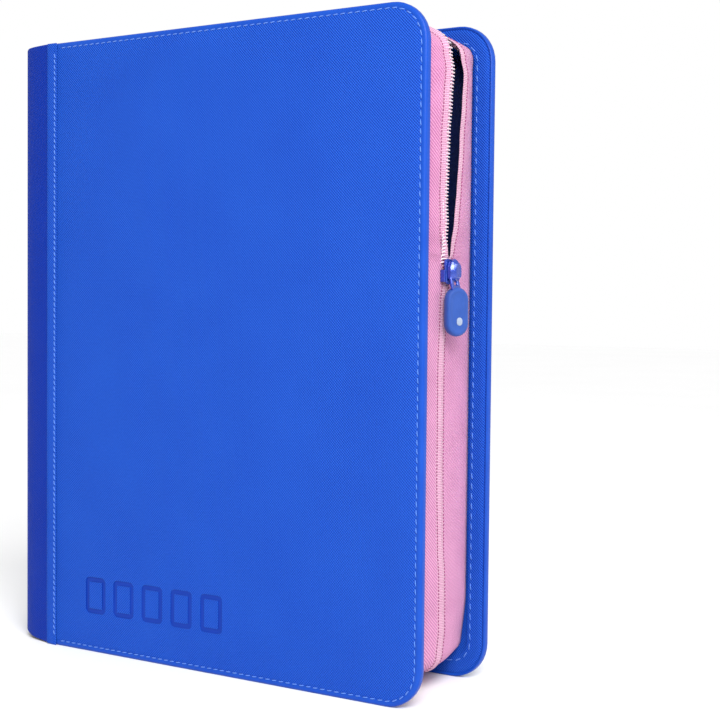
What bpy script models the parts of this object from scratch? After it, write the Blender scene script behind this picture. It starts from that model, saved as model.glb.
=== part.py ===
"""Trading card binder with a zip round three sides.

The binder is closed and stands on its bottom edge. +Z runs up its height, +X from the spine to the
zip, and the front cover faces -Y. The origin is on the floor, in the middle of the covers. Units are metres.
"""
import math

import bmesh
import bpy
from mathutils import Vector

# Overall size
HEIGHT = 0.355
WIDTH = 0.284
DEPTH = 0.076
SPINE_X = -WIDTH / 2
EDGE_X = WIDTH / 2
FACE_Y = DEPTH / 2

# Layers of a cover, from the outside in
LEATHER = 0.0010
PADDING = 0.0010
BOARD = 0.0016
LINING = 0.0005
CLEARANCE = 0.0003
COVER = LEATHER + PADDING + BOARD + LINING + 3 * CLEARANCE
CORNER_RADIUS = 0.0205
CORNER_STEPS = 8

# Spine: flat in the middle, a quarter round gutter on each side, and a seam on each cover
GUTTER_RADIUS = 0.020
GUTTER_STEPS = 6
SEAM_INSET = 0.033
SPINE_BOARD_MARGIN = 0.001
FOLD_X = SPINE_X + GUTTER_RADIUS
FOLD_Y = FACE_Y - GUTTER_RADIUS
SEAM_X = SPINE_X + SEAM_INSET
# A gutter opens flat when its cover turns a right angle about this line
FOLD_OFFSET = GUTTER_RADIUS * (1 - math.pi / 4)
PIVOT_X = SPINE_X + FOLD_OFFSET
PIVOT_Y = FACE_Y - FOLD_OFFSET

# Zip: two fabric walls that stand on the covers, with a chain between them
WALL_INSET = 0.0105
WALL_RADIUS = CORNER_RADIUS - WALL_INSET
WALL_END_X = FOLD_X + 0.002
WALL_STEPS = 7
SIDE_STEPS = 12
TAPE = 0.0008
CHAIN_BULGE = 0.0015
COIL_WIDTH = 0.0040
COIL_THICKNESS = 0.0022
COIL_SPLIT = 0.0006
COIL_END_X = WALL_END_X + 0.0045
GAP_HALF_WIDTH = 0.0040
STOP_SIZE = (0.0038, 0.0040, 0.0034)
STOP_ROUNDING = 0.0004
TAB_START_X = SPINE_X + 0.0045
TAB_END_X = WALL_END_X - 0.0015

# Slider and pull
SLIDER_Z = 0.2215
SLIDER_LENGTH = 0.013
SLIDER_TOP_WIDTH = 0.0110
SLIDER_BOTTOM_WIDTH = 0.0086
SLIDER_PLATE = 0.0012
SLIDER_CORNER = 0.002
CHANNEL_PLAY = 0.0009
DIVIDER = 0.0007
DIVIDER_LENGTH = 0.45 * SLIDER_LENGTH
DIVIDER_RISE = 0.2 * SLIDER_LENGTH
CHAIN_X = EDGE_X - WALL_INSET + CHAIN_BULGE
PLATE_X = CHAIN_X + COIL_THICKNESS / 2 + CHANNEL_PLAY + SLIDER_PLATE
BAIL_RADIUS = 0.0029
BAIL_WIRE = 0.0008
BAIL_STEPS = 10
LINK_WIRE = 0.0007
LINK_HALF_WIDTH = 0.0028
LINK_LENGTH = 0.0088
LINK_TILT = math.radians(13)
LINK_CORNER = 0.0015
LINK_CORNER_STEPS = 3
PULL_PLAY = 0.0004
PULL_PIVOT = Vector((PLATE_X + PULL_PLAY + LINK_WIRE, 0.0, SLIDER_Z))
GRIP_WIDTH = 0.0120
GRIP_LENGTH = 0.0255
GRIP_THICKNESS = 0.0052
GRIP_X = 0.1397
GRIP_ROUNDING = 0.0014
GRIP_STEPS = 8
CAP_MERGE = 0.00001
GRIP_TURN = math.radians(-30)

# Pages
PAGES = 20
PAGE_PITCH = 0.0030
PAGE_X = -0.1307
PAGE_END_X = 0.112
PAGE_BOTTOM = 0.027
PAGE_TOP = 0.328
PAGE_FLAP = 0.015
PAGE_FLAP_TAPER = 0.001
PAGE_FLAP_THICKNESS = 0.0003
PAGE_THICKNESS = 0.0006
BINDING_HALF_WIDTH = 0.030
BINDING_ROOT_HALF_WIDTH = 0.015
BINDING_EDGE = 0.002

# Colour, roughness and metallic value of each kind of material
LOOKS = {
    "leather": ((0.016, 0.078, 0.60), 0.45, 0.0),
    "spine_leather": ((0.010, 0.055, 0.46), 0.45, 0.0),
    "lining": ((0.012, 0.045, 0.33), 0.80, 0.0),
    "foam": ((0.60, 0.60, 0.62), 0.95, 0.0),
    "board": ((0.42, 0.34, 0.25), 0.90, 0.0),
    "tape": ((0.60, 0.32, 0.45), 0.85, 0.0),
    "coil": ((0.80, 0.62, 0.72), 0.45, 0.0),
    "slider": ((0.02, 0.09, 0.62), 0.25, 1.0),
    "rubber": ((0.065, 0.165, 0.64), 0.60, 0.0),
    "film": ((0.012, 0.012, 0.015), 0.25, 0.0),
}

parts = bpy.data.collections.new("trading_card_binder")
cutters = bpy.data.collections.new("cutters")


def clear_scene():
    for old in list(bpy.data.objects):
        bpy.data.objects.remove(old, do_unlink=True)
    for collection in (parts, cutters):
        bpy.context.scene.collection.children.link(collection)


def own_material(name, look):
    """A Principled material that belongs to one piece."""
    colour, roughness, metallic = LOOKS[look]
    material = bpy.data.materials.new(name)
    material.use_nodes = True
    shader = material.node_tree.nodes["Principled BSDF"]
    shader.inputs["Base Color"].default_value = (*colour, 1.0)
    shader.inputs["Roughness"].default_value = roughness
    shader.inputs["Metallic"].default_value = metallic
    return material


def add_object(name, data, look, parent=None, location=(0, 0, 0), rotation=(0, 0, 0)):
    obj = bpy.data.objects.new(name, data)
    if not data.materials:
        data.materials.append(own_material(name, look))
    obj.location = location
    obj.rotation_euler = rotation
    obj.parent = parent
    parts.objects.link(obj)
    return obj


def add_axis(name, location):
    """An empty on a joint's axis, which the turning pieces hang from."""
    axis = bpy.data.objects.new(name, None)
    axis.location = location
    axis.empty_display_size = 0.01
    parts.objects.link(axis)
    return axis


def solidify(obj, thickness):
    """Thicken an open surface equally to both sides."""
    modifier = obj.modifiers.new("thickness", "SOLIDIFY")
    modifier.thickness = thickness
    modifier.offset = 0.0
    modifier.use_even_offset = True


def bevel(obj, width, segments):
    modifier = obj.modifiers.new("rounding", "BEVEL")
    modifier.width = width
    modifier.segments = segments
    modifier.limit_method = "ANGLE"


def mesh_from(bm, name):
    mesh = bpy.data.meshes.new(name)
    bmesh.ops.recalc_face_normals(bm, faces=bm.faces)
    bm.to_mesh(mesh)
    bm.free()
    return mesh


def arc(centre, radius, start, end, steps):
    """Points on an arc, with the angles in degrees."""
    angles = [math.radians(start + (end - start) * i / steps) for i in range(steps + 1)]
    return [(centre[0] + radius * math.cos(a), centre[1] + radius * math.sin(a)) for a in angles]


def cover_outline(left, inset):
    """The outline of a cover in X and Z: square at the spine and round at the zip."""
    radius = CORNER_RADIUS - inset
    right = EDGE_X - inset
    low, high = inset, HEIGHT - inset
    lower = arc((right - radius, low + radius), radius, -90, 0, CORNER_STEPS)
    upper = arc((right - radius, high - radius), radius, 0, 90, CORNER_STEPS)
    return [(left, low), *lower, *upper, (left, high)]


def flat_curve(name, outline, thickness):
    """A flat closed outline, thickened to both sides of its plane."""
    curve = bpy.data.curves.new(name, "CURVE")
    curve.dimensions = "2D"
    curve.fill_mode = "BOTH"
    curve.extrude = thickness / 2
    spline = curve.splines.new("POLY")
    spline.points.add(len(outline) - 1)
    for point, (u, v) in zip(spline.points, outline):
        point.co = (u, v, 0, 1)
    spline.use_cyclic_u = True
    return curve


def wire(name, points, radius, closed=False):
    """A round wire through the given points."""
    curve = bpy.data.curves.new(name, "CURVE")
    curve.dimensions = "3D"
    curve.bevel_depth = radius
    curve.bevel_resolution = 2
    curve.use_fill_caps = not closed
    spline = curve.splines.new("POLY")
    spline.points.add(len(points) - 1)
    for point, place in zip(spline.points, points):
        point.co = (*place, 1)
    spline.use_cyclic_u = closed
    return curve


def box(name, size, look, location, parent=None, rotation=(0, 0, 0)):
    bm = bmesh.new()
    bmesh.ops.create_cube(bm, size=1)
    bmesh.ops.scale(bm, vec=size, verts=bm.verts)
    return add_object(name, mesh_from(bm, name), look, parent, location, rotation)


def cover_plate(name, side, depth, thickness, look, left, inset):
    """One flat layer of a cover. Side is -1 for the front and 1 for the back."""
    curve = flat_curve(name, cover_outline(left, inset), thickness)
    y = side * (FACE_Y - depth - thickness / 2)
    return add_object(name, curve, look, None, (0, y, 0), (math.pi / 2, 0, 0))


def cover_skin(name, side):
    """The leather on a cover's face, turned in round the three free edges."""
    inset = LEATHER / 2
    y_face = side * (FACE_Y - inset)
    y_rim = side * (FACE_Y - COVER)
    left = SEAM_X + CLEARANCE / 2
    bm = bmesh.new()
    face_ring = [bm.verts.new((x, y_face, z)) for x, z in cover_outline(left, inset)]
    bm.faces.new(face_ring)
    rim_edges = [e for e in bm.edges if max(v.co.x for v in e.verts) > left + CLEARANCE]
    rim = bmesh.ops.extrude_edge_only(bm, edges=rim_edges)["geom"]
    for vert in (v for v in rim if isinstance(v, bmesh.types.BMVert)):
        vert.co.y = y_rim
    skin = add_object(name, mesh_from(bm, name), "leather")
    solidify(skin, LEATHER)
    return skin


def upright_sheet(name, profile, thickness, look, low=0.0, high=HEIGHT):
    """A sheet that follows a profile in X and Y and stands from low to high."""
    bm = bmesh.new()
    feet = [bm.verts.new((x, y, low)) for x, y in profile]
    edges = [bm.edges.new(pair) for pair in zip(feet, feet[1:])]
    top = bmesh.ops.extrude_edge_only(bm, edges=edges)["geom"]
    for vert in (v for v in top if isinstance(v, bmesh.types.BMVert)):
        vert.co.z = high
    sheet = add_object(name, mesh_from(bm, name), look)
    solidify(sheet, thickness)
    return sheet


def gutter_arc(side, start, end):
    """Part of a gutter's leather, from the cover at 0 degrees to the spine at 90."""
    radius = GUTTER_RADIUS - LEATHER / 2
    points = arc((FOLD_X, 0), radius, -90 - start, -90 - end, GUTTER_STEPS)
    return [(x, -side * (y - FOLD_Y)) for x, y in points]


def make_cover(side, name):
    """The board, padding, leather and lining of one cover."""
    under_leather = LEATHER + CLEARANCE
    under_padding = under_leather + PADDING + CLEARANCE
    under_board = under_padding + BOARD + CLEARANCE
    left = FOLD_X + CLEARANCE
    cover_skin(f"{name}_skin", side)
    cover_plate(f"{name}_padding", side, under_leather, PADDING, "foam", left, under_leather)
    cover_plate(f"{name}_board", side, under_padding, BOARD, "board", left, under_leather)
    cover_plate(f"{name}_lining", side, under_board, LINING, "lining", left, under_leather)
    half_gap = math.degrees(CLEARANCE / 2 / GUTTER_RADIUS)
    flap_y = side * (FACE_Y - LEATHER / 2)
    flap = [(SEAM_X - CLEARANCE / 2, flap_y), *gutter_arc(side, 0, 45 - half_gap)]
    upright_sheet(f"{name}_gutter_skin", flap, LEATHER, "spine_leather")


def make_spine():
    """The spine's leather, board, lining, and the bar that the pages are welded to."""
    half_gap = math.degrees(CLEARANCE / 2 / GUTTER_RADIUS)
    front = gutter_arc(-1, 45 + half_gap, 90)
    back = gutter_arc(1, 45 + half_gap, 90)
    upright_sheet("spine_skin", [*front, *reversed(back)], LEATHER, "spine_leather")
    inner = HEIGHT - 2 * (LEATHER + CLEARANCE)
    flat = 2 * (FOLD_Y - SPINE_BOARD_MARGIN)
    board_x = SPINE_X + LEATHER + CLEARANCE + BOARD / 2
    lining_x = board_x + BOARD / 2 + CLEARANCE + LINING / 2
    box("spine_board", (BOARD, flat, inner), "board", (board_x, 0, HEIGHT / 2))
    box("spine_lining", (LINING, flat, inner), "lining", (lining_x, 0, HEIGHT / 2))
    root_x = lining_x + LINING / 2 + CLEARANCE
    face_x = PAGE_X - 2 * CLEARANCE
    profile = [
        (root_x, -BINDING_ROOT_HALF_WIDTH),
        (face_x - BINDING_EDGE, -BINDING_HALF_WIDTH),
        (face_x, -BINDING_HALF_WIDTH),
        (face_x, BINDING_HALF_WIDTH),
        (face_x - BINDING_EDGE, BINDING_HALF_WIDTH),
        (root_x, BINDING_ROOT_HALF_WIDTH),
    ]
    height = PAGE_TOP - PAGE_BOTTOM
    curve = flat_curve("page_binding", profile, height)
    add_object("page_binding", curve, "film", None, (0, 0, PAGE_BOTTOM + height / 2))


def wall_path():
    """Points along the zip wall in X and Z, each with its outward direction.

    They run from the spine along the top, down the zip side and back along the bottom.
    """
    right = EDGE_X - WALL_INSET
    low, high = WALL_INSET, HEIGHT - WALL_INSET
    centre_x = right - WALL_RADIUS
    path = [((WALL_END_X, high), (0, 1))]
    for angle in (90 - 90 * i / WALL_STEPS for i in range(WALL_STEPS + 1)):
        out = (math.cos(math.radians(angle)), math.sin(math.radians(angle)))
        place = (centre_x + WALL_RADIUS * out[0], high - WALL_RADIUS + WALL_RADIUS * out[1])
        path.append((place, out))
    for i in range(1, SIDE_STEPS):
        z = high - WALL_RADIUS - (high - low - 2 * WALL_RADIUS) * i / SIDE_STEPS
        path.append(((right, z), (1, 0)))
    lower = [((x, HEIGHT - z), (out[0], -out[1])) for (x, z), out in path[: WALL_STEPS + 2]]
    return path + lower[::-1]


def gap_half_width(z):
    """Half the width of the opening that the unzipped chain leaves above the slider."""
    start = SLIDER_Z + SLIDER_LENGTH / 2
    end = HEIGHT - WALL_INSET
    part = (z - start) / (end - start)
    if not 0 < part < 1:
        return 0.0
    return GAP_HALF_WIDTH * math.sin(math.pi * part)


def ribbon(name, lines, thickness, look):
    """A strip between two lines of points, thickened to both sides."""
    bm = bmesh.new()
    first, second = ([bm.verts.new(point) for point in line] for line in lines)
    for a, b, c, d in zip(first, first[1:], second[1:], second):
        bm.faces.new((a, b, c, d))
    strip = add_object(name, mesh_from(bm, name), look)
    solidify(strip, thickness)
    return strip


def make_zip_half(side, name):
    """One cover's fabric wall, its half of the chain, and the stop at the chain's top end."""
    foot, edge, outer, inner = [], [], [], []
    for (x, z), out in wall_path():
        shift = gap_half_width(z)
        bulge = CHAIN_BULGE * max(0.0, out[0])
        chain_y = COIL_SPLIT + shift
        foot.append((x, side * (FACE_Y - COVER - CLEARANCE), z))
        edge.append((x + bulge, side * (chain_y + COIL_WIDTH + CLEARANCE), z))
        outer.append((x + bulge, side * (chain_y + COIL_WIDTH), z))
        inner.append((x + bulge, side * chain_y, z))
    ribbon(f"{name}_tape", (foot, edge), TAPE, "tape")
    for line in (outer, inner):
        line[0] = (COIL_END_X, *line[0][1:])
        line[-1] = (COIL_END_X, *line[-1][1:])
    ribbon(f"{name}_coil", (outer, inner), COIL_THICKNESS, "coil")
    stop_x = COIL_END_X - CLEARANCE - STOP_SIZE[0] / 2
    stop_y = side * (COIL_SPLIT + COIL_WIDTH / 2)
    stop = box(f"top_stop_{name}", STOP_SIZE, "slider", (stop_x, stop_y, HEIGHT - WALL_INSET))
    bevel(stop, STOP_ROUNDING, 2)


def make_zip_ends():
    """The fabric that closes the zip's two ends at the spine, and the stop that joins its tapes."""
    size = (TAB_END_X - TAB_START_X, 2 * BINDING_ROOT_HALF_WIDTH, TAPE)
    middle = (TAB_START_X + TAB_END_X) / 2
    box("top_end_tab", size, "tape", (middle, 0, HEIGHT - WALL_INSET))
    box("bottom_end_tab", size, "tape", (middle, 0, WALL_INSET))
    stop_z = WALL_INSET - TAPE / 2 - CLEARANCE - STOP_SIZE[2] / 2
    stop_size = (STOP_SIZE[0], 2 * (COIL_WIDTH + COIL_SPLIT), STOP_SIZE[2])
    stop = box("bottom_stop", stop_size, "slider", (TAB_END_X - STOP_SIZE[0] / 2, 0, stop_z))
    bevel(stop, STOP_ROUNDING, 2)


def slider_plate(name, x, collection):
    """One of the slider's two plates: wide at the top, where the chain parts, and narrow below."""
    half = SLIDER_LENGTH / 2
    top, bottom = SLIDER_TOP_WIDTH / 2, SLIDER_BOTTOM_WIDTH / 2
    corner = SLIDER_CORNER
    outline = [
        (-bottom, -half + corner / 2),
        (-bottom + corner, -half),
        (bottom - corner, -half),
        (bottom, -half + corner / 2),
        (top, half - corner),
        (top - corner, half),
        (-top + corner, half),
        (-top, half - corner),
    ]
    bm = bmesh.new()
    bm.faces.new([bm.verts.new((x, y, SLIDER_Z + z)) for y, z in outline])
    plate = bpy.data.objects.new(name, mesh_from(bm, name))
    collection.objects.link(plate)
    solidify(plate, SLIDER_PLATE)
    return plate


def make_slider():
    """Two plates joined by the divider that parts the chain, and the bail on the outer plate."""
    outer_x = PLATE_X - SLIDER_PLATE / 2
    inner_x = 2 * CHAIN_X - outer_x
    body = slider_plate("slider_body", outer_x, parts)
    body.data.materials.append(own_material("slider_body", "slider"))
    inner = slider_plate("slider_inner_plate", inner_x, cutters)
    bm = bmesh.new()
    bmesh.ops.create_cube(bm, size=1)
    bmesh.ops.scale(bm, vec=(outer_x - inner_x, DIVIDER, DIVIDER_LENGTH), verts=bm.verts)
    centre = Vector((CHAIN_X, 0, SLIDER_Z + DIVIDER_RISE))
    bmesh.ops.translate(bm, vec=centre, verts=bm.verts)
    divider = bpy.data.objects.new("slider_divider", mesh_from(bm, "slider_divider"))
    cutters.objects.link(divider)
    for piece in (divider, inner):
        piece.hide_render = True
        piece.display_type = "WIRE"
        union = body.modifiers.new(piece.name, "BOOLEAN")
        union.operation = "UNION"
        union.object = piece
        union.solver = "EXACT"
    bail_x = PLATE_X + 2 * CLEARANCE
    arch = arc((bail_x, SLIDER_Z), BAIL_RADIUS, -90, 90, BAIL_STEPS)
    bail = wire("slider_bail", [(x, 0, z) for x, z in arch], BAIL_WIRE)
    add_object("slider_bail", bail, "slider")


def make_pull():
    """The wire link that hangs from the bail, and the rubber grip on it."""
    axis = add_axis("pull_axis", PULL_PIVOT)
    corner, steps = LINK_CORNER, LINK_CORNER_STEPS
    half, low = LINK_HALF_WIDTH, -LINK_LENGTH
    loop = [
        *arc((half - corner, -corner), corner, 90, 0, steps),
        *arc((half - corner, low + corner), corner, 0, -90, steps),
        *arc((-half + corner, low + corner), corner, -90, -180, steps),
        *arc((-half + corner, -corner), corner, 180, 90, steps),
    ]
    link = wire("pull_link", [(0, y, z) for y, z in loop], LINK_WIRE, closed=True)
    add_object("pull_link", link, "slider", axis, rotation=(0, -LINK_TILT, 0))
    link_foot = LINK_LENGTH * math.cos(LINK_TILT) + LINK_WIRE
    grip_z = -link_foot - CLEARANCE - GRIP_LENGTH / 2
    end = GRIP_WIDTH / 2
    straight = GRIP_LENGTH / 2 - end
    pill = [
        *arc((0, straight), end, 0, 180, GRIP_STEPS),
        *arc((0, -straight), end, 180, 360, GRIP_STEPS),
    ]
    curve = flat_curve("pull_grip", pill, GRIP_THICKNESS)
    place = (GRIP_X - PULL_PIVOT.x, 0, grip_z)
    grip = add_object("pull_grip", curve, "rubber", axis, place, (math.pi / 2, 0, math.pi / 2 + GRIP_TURN))
    weld = grip.modifiers.new("closed_caps", "WELD")
    weld.merge_threshold = CAP_MERGE
    bevel(grip, GRIP_ROUNDING, 3)


def make_pages():
    """Twenty pages, each with its origin on the line where its flap bends."""
    length = PAGE_END_X - PAGE_X
    thin, thick = PAGE_FLAP_THICKNESS / 2, PAGE_THICKNESS / 2
    profile = [
        (0, -thin),
        (PAGE_FLAP, -thin),
        (PAGE_FLAP + PAGE_FLAP_TAPER, -thick),
        (length, -thick),
        (length, thick),
        (PAGE_FLAP + PAGE_FLAP_TAPER, thick),
        (PAGE_FLAP, thin),
        (0, thin),
    ]
    middle_z = (PAGE_BOTTOM + PAGE_TOP) / 2
    for i in range(PAGES):
        name = f"page_{i + 1:02d}"
        curve = flat_curve(name, profile, PAGE_TOP - PAGE_BOTTOM)
        y = (i - (PAGES - 1) / 2) * PAGE_PITCH
        add_object(name, curve, "film", None, (PAGE_X, y, middle_z))


clear_scene()
make_cover(-1, "front")
make_cover(1, "back")
make_spine()
make_zip_half(-1, "front")
make_zip_half(1, "back")
make_zip_ends()
make_slider()
make_pull()
make_pages()
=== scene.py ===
"""The looks of a zip-round card binder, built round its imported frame.

The binder stands on its bottom edge, closed, with the front cover towards -Y and the zip side at +X.
Lengths are in metres. The front half of the binder is side -1 and the back half is side 1.
"""

import math

import bmesh
import bpy
from mathutils import Euler, Matrix, Vector, noise


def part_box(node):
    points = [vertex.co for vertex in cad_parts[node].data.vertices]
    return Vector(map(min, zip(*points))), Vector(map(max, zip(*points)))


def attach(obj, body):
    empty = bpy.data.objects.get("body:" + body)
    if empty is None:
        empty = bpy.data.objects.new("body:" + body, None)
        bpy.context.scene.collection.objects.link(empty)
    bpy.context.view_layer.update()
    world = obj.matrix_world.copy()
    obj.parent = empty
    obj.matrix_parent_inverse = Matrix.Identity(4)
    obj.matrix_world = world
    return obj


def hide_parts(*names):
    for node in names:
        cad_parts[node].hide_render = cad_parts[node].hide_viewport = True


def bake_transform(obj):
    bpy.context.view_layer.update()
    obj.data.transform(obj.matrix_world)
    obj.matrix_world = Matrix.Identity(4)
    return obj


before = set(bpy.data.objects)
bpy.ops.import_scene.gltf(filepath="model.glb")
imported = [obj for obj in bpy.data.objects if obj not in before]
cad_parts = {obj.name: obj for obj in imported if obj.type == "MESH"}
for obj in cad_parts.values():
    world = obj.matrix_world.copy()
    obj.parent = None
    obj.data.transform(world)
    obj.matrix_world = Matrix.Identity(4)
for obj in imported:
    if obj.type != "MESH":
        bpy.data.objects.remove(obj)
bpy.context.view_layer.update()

# Places read from the frame
skin_low, skin_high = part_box("front_skin")
tape_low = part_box("front_tape")[0]
slider_low, slider_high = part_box("slider_body")
grip_low, grip_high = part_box("pull_grip")
SIDES = {"front": -1, "back": 1}
HEIGHT = skin_high.z
EDGE_X = skin_high.x
SEAM_X = skin_low.x
SPINE_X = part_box("spine_skin")[0].x
FACE_Y = -skin_low.y
RIM_Y = -skin_high.y
WALL_INSET = tape_low.z
WALL_END_X = tape_low.x
SLIDER_Z = (slider_low.z + slider_high.z) / 2
SLIDER_TOP = slider_high.z
# The corners of the covers' outline
CORNER_RADIUS = 0.0205
FLAT_X = EDGE_X - CORNER_RADIUS
TURN = 2 * math.pi


# ---------------------------------------------------------------- materials

def node(tree, kind, inputs=(), **settings):
    """A shader node with its settings and its inputs, each a value or another node's socket."""
    made = tree.nodes.new("ShaderNode" + kind)
    for name, value in settings.items():
        setattr(made, name, value)
    for socket, value in dict(inputs).items():
        if isinstance(value, bpy.types.NodeSocket):
            tree.links.new(value, made.inputs[socket])
        else:
            made.inputs[socket].default_value = value
    return made


def calc(tree, operation, first, second=0.0, third=0.0):
    """The result of one arithmetic step."""
    return node(tree, "Math", {0: first, 1: second, 2: third}, operation=operation).outputs[0]


def scale_add(tree, pattern, factor, base):
    """A pattern times a factor, plus a base."""
    return calc(tree, "MULTIPLY_ADD", pattern, factor, base)


def weigh(tree, first, weight, second, other_weight):
    """The weighted sum of two patterns."""
    return scale_add(tree, first, weight, calc(tree, "MULTIPLY", second, other_weight))


def mix(tree, share, first, second):
    """A colour between two others."""
    inputs = {0: share, 6: (*first, 1.0), 7: (*second, 1.0)}
    return node(tree, "Mix", inputs, data_type="RGBA").outputs[2]


def ridges(tree, place, direction, pitch):
    """A sine wave from -1 to 1 across the surface, with its crests one pitch apart."""
    scaled = Vector(direction).normalized() * (TURN / pitch)
    dot = node(tree, "VectorMath", {0: place, 1: scaled}, operation="DOT_PRODUCT")
    return calc(tree, "SINE", dot.outputs["Value"])


def clouds(tree, place, size, detail=2.0):
    """Soft noise from 0 to 1 whose blotches are about one size across."""
    inputs = {"Vector": place, "Scale": 1 / size, "Detail": detail}
    return node(tree, "TexNoise", inputs).outputs["Fac"]


def start_material(name, roughness, coordinates="UV", **constants):
    """A material with its Principled shader, and the surface coordinates that its pattern follows."""
    material = bpy.data.materials.new(name)
    material.use_nodes = True
    tree = material.node_tree
    shader = tree.nodes["Principled BSDF"]
    shader.inputs["Roughness"].default_value = roughness
    for socket, value in constants.items():
        shader.inputs[socket.replace("_", " ")].default_value = value
    place = node(tree, "TexCoord").outputs[coordinates]
    return material, tree, shader, place


def dress(tree, shader, colour, height, depth, roughness=None):
    """Gives a shader its colour and its relief, and a roughness pattern if it has one."""
    tree.links.new(colour, shader.inputs["Base Color"])
    bump = node(tree, "Bump", {"Height": height, "Strength": 1.0, "Distance": depth})
    tree.links.new(bump.outputs["Normal"], shader.inputs["Normal"])
    if roughness is not None:
        tree.links.new(roughness, shader.inputs["Roughness"])


WEAVE_PITCH = 0.00108


def woven_leather(name, dark, light):
    """Leather cloth pressed with a fine diagonal cross weave."""
    material, tree, shader, place = start_material(name, 0.5, Specular_IOR_Level=0.08)
    fall = ridges(tree, place, (1, 1, 0), WEAVE_PITCH)
    rise = ridges(tree, place, (1, -1, 0), WEAVE_PITCH)
    weave = weigh(tree, fall, 0.68, rise, 0.32)
    grain = clouds(tree, place, 0.0013, 3.0)
    patches = clouds(tree, place, 0.045, 3.0)
    height = scale_add(tree, grain, 0.7, weave)
    share = scale_add(tree, weave, 0.52, 0.24)
    share = scale_add(tree, patches, 0.22, share)
    share = scale_add(tree, grain, 0.3, share)
    colour = mix(tree, share, dark, light)
    rough = scale_add(tree, patches, 0.06, 0.50)
    dress(tree, shader, colour, height, 0.00019, rough)
    return material


def smooth_leather(name, dark, light, roughness=0.34):
    """The same leather cloth where it is pulled tight and its weave is pressed flat."""
    material, tree, shader, place = start_material(name, roughness, Specular_IOR_Level=0.14)
    grain = clouds(tree, place, 0.0009, 3.0)
    patches = clouds(tree, place, 0.02, 3.0)
    share = weigh(tree, patches, 0.8, grain, 0.3)
    rough = scale_add(tree, patches, 0.16, roughness - 0.08)
    dress(tree, shader, mix(tree, share, dark, light), grain, 0.00008, rough)
    return material


def twill(name, dark, light, pitch=0.0013, direction=(1, 0.75, 0), coordinates="UV", sheen=0.25):
    """Cloth with diagonal ribs."""
    constants = {"Sheen_Weight": sheen, "Sheen_Roughness": 0.4, "Specular_IOR_Level": 0.2}
    material, tree, shader, place = start_material(name, 0.85, coordinates, **constants)
    ribs = ridges(tree, place, direction, pitch)
    across = ridges(tree, place, (direction[1], -direction[0], 0), pitch * 0.45)
    fuzz = clouds(tree, place, 0.0008, 4.0)
    patches = clouds(tree, place, 0.018, 2.0)
    height = scale_add(tree, across, 0.3, ribs)
    height = scale_add(tree, fuzz, 0.6, height)
    share = scale_add(tree, ribs, 0.30, 0.3)
    share = scale_add(tree, fuzz, 0.35, share)
    share = scale_add(tree, patches, 0.35, share)
    dress(tree, shader, mix(tree, share, dark, light), height, 0.00016)
    return material


def thread(name, dark, light):
    """Twisted sewing thread."""
    material, tree, shader, place = start_material(name, 0.5, "Object", Sheen_Weight=0.2)
    strands = ridges(tree, place, (1, 0.4, 1), 0.0006)
    fuzz = clouds(tree, place, 0.0006, 2.0)
    share = scale_add(tree, strands, 0.3, fuzz)
    dress(tree, shader, mix(tree, share, dark, light), strands, 0.00005)
    return material


def nylon(name, dark, light):
    """Moulded nylon that lets a little light in."""
    constants = {"Specular_IOR_Level": 0.5, "Subsurface_Weight": 0.25, "Subsurface_Scale": 0.001}
    material, tree, shader, place = start_material(name, 0.32, "Object", **constants)
    specks = clouds(tree, place, 0.0012, 2.0)
    patches = clouds(tree, place, 0.012, 2.0)
    share = weigh(tree, specks, 0.4, patches, 0.6)
    rough = scale_add(tree, specks, 0.2, 0.22)
    dress(tree, shader, mix(tree, share, dark, light), specks, 0.00004, rough)
    return material


def enamel(name, dark, light, metallic=0.35, roughness=0.2):
    """Glossy coloured enamel on pressed metal, a little worn."""
    constants = {"Metallic": metallic, "Coat_Weight": 0.8, "Coat_Roughness": 0.08}
    material, tree, shader, place = start_material(name, roughness, "Object", **constants)
    ripple = clouds(tree, place, 0.0022, 2.0)
    scuffs = clouds(tree, place, 0.0005, 4.0)
    share = weigh(tree, scuffs, 0.5, ripple, 0.5)
    rough = scale_add(tree, scuffs, 0.3, roughness - 0.08)
    dress(tree, shader, mix(tree, share, dark, light), ripple, 0.00012, rough)
    return material


def rubber(name, dark, light):
    """Matte moulded rubber with a fine pebbled skin."""
    constants = {"Specular_IOR_Level": 0.25, "Sheen_Weight": 0.1, "Sheen_Roughness": 0.5}
    material, tree, shader, place = start_material(name, 0.55, "Object", **constants)
    pebbles = clouds(tree, place, 0.00035, 2.0)
    bloom = clouds(tree, place, 0.006, 3.0)
    share = weigh(tree, bloom, 0.8, pebbles, 0.3)
    rough = scale_add(tree, bloom, 0.2, 0.45)
    dress(tree, shader, mix(tree, share, dark, light), pebbles, 0.00006, rough)
    return material


def pocket_film(name, dark, light):
    """Clear film over a black page: glossy, with the faint ripples of a thin foil."""
    constants = {"Coat_Weight": 1.0, "Coat_Roughness": 0.06, "Coat_IOR": 1.5}
    material, tree, shader, place = start_material(name, 0.35, "UV", **constants)
    ripple = clouds(tree, place, 0.03, 2.0)
    crinkle = clouds(tree, place, 0.004, 3.0)
    height = scale_add(tree, crinkle, 0.12, ripple)
    rough = scale_add(tree, crinkle, 0.25, 0.2)
    dress(tree, shader, mix(tree, ripple, dark, light), height, 0.0006, rough)
    return material


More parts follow.
